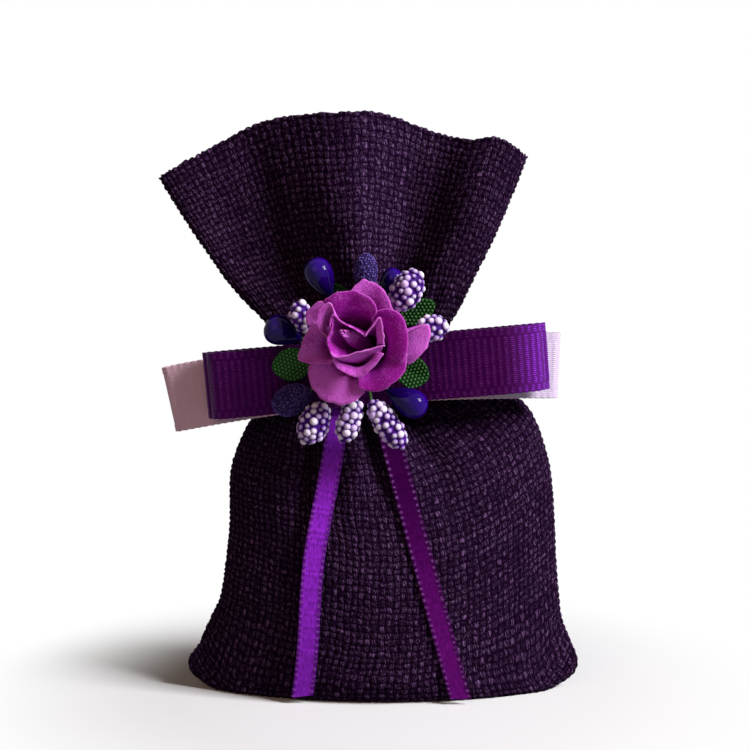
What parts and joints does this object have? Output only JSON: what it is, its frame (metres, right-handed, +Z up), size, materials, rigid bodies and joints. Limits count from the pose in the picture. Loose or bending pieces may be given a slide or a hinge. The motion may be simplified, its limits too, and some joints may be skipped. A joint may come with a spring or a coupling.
{
  "type": "lavender sachet",
  "caption": "Stuffed burlap pouch tied at the neck with satin ribbon, dressed with folded grosgrain bows and a paper-rose corsage, to scent drawers and wardrobes.",
  "frame": {"origin": "middle of the flat base that the pouch stands on", "axes": "+Z up, -Y towards the front with the corsage, +X to the viewer's right"},
  "size_m": [0.1046, 0.0591, 0.1447],
  "materials": {
    "burlap": "matte",
    "dried_lavender": "matte",
    "violet_satin": "satin",
    "plum_satin": "satin",
    "lilac_grosgrain": "matte",
    "purple_grosgrain": "matte",
    "hot_glue": "satin",
    "floral_tape": "matte",
    "stem_wire": "matte",
    "rose_paper": "matte",
    "leaf_paper": "matte",
    "pip_lacquer": "gloss",
    "bead_crust": "satin",
    "frosted_crust": "matte"
  },
  "bodies": {
    "sachet_body": {"pouch_front_panel": "burlap", "pouch_back_panel": "burlap", "lavender_filling": "dried_lavender", "neck_tie": "violet_satin", "tie_knot": "violet_satin", "lilac_bow": "lilac_grosgrain", "purple_bow": "purple_grosgrain", "glue_pad": "hot_glue", "stem_binding": "floral_tape", "rose_stem": "stem_wire", "rose_base": "leaf_paper", "rose_heart": "rose_paper", "rose_inner_petal_1": "rose_paper", "rose_inner_petal_2": "rose_paper", "rose_inner_petal_3": "rose_paper", "rose_inner_petal_4": "rose_paper", "rose_middle_petal_1": "rose_paper", "rose_middle_petal_2": "rose_paper", "rose_middle_petal_3": "rose_paper", "rose_middle_petal_4": "rose_paper", "rose_middle_petal_5": "rose_paper", "rose_outer_petal_1": "rose_paper", "rose_outer_petal_2": "rose_paper", "rose_outer_petal_3": "rose_paper", "rose_outer_petal_4": "rose_paper", "rose_outer_petal_5": "rose_paper", "glossy_pip_1": "pip_lacquer", "glossy_pip_2": "pip_lacquer", "glossy_pip_3": "pip_lacquer", "glossy_pip_4": "pip_lacquer", "beaded_bud_1": "bead_crust", "beaded_bud_2": "bead_crust", "beaded_bud_3": "bead_crust", "beaded_bud_4": "bead_crust", "beaded_bud_5": "bead_crust", "beaded_bud_6": "bead_crust", "frosted_bud_1": "frosted_crust", "frosted_bud_2": "frosted_crust", "leaf_1": "leaf_paper", "leaf_2": "leaf_paper", "leaf_3": "leaf_paper", "leaf_4": "leaf_paper", "glossy_pip_1_wire": "stem_wire", "glossy_pip_2_wire": "stem_wire", "glossy_pip_3_wire": "stem_wire", "glossy_pip_4_wire": "stem_wire", "beaded_bud_1_wire": "stem_wire", "beaded_bud_2_wire": "stem_wire", "beaded_bud_3_wire": "stem_wire", "beaded_bud_4_wire": "stem_wire", "beaded_bud_5_wire": "stem_wire", "beaded_bud_6_wire": "stem_wire", "frosted_bud_1_wire": "stem_wire", "frosted_bud_2_wire": "stem_wire"},
    "left_ribbon": {"left_tail": "violet_satin"},
    "right_ribbon": {"right_tail": "plum_satin"}
  },
  "joints": [
    {"name": "left_tail_lift", "type": "hinge", "parent": "sachet_body", "child": "left_ribbon", "pos_m": [-0.01163, -0.01577, 0.0618], "axis": [-1, 0, 0], "range_deg": [0, 60]},
    {"name": "right_tail_lift", "type": "hinge", "parent": "sachet_body", "child": "right_ribbon", "pos_m": [0.00306, -0.0157, 0.0618], "axis": [-1, 0, 0], "range_deg": [0, 60]}
  ]
}
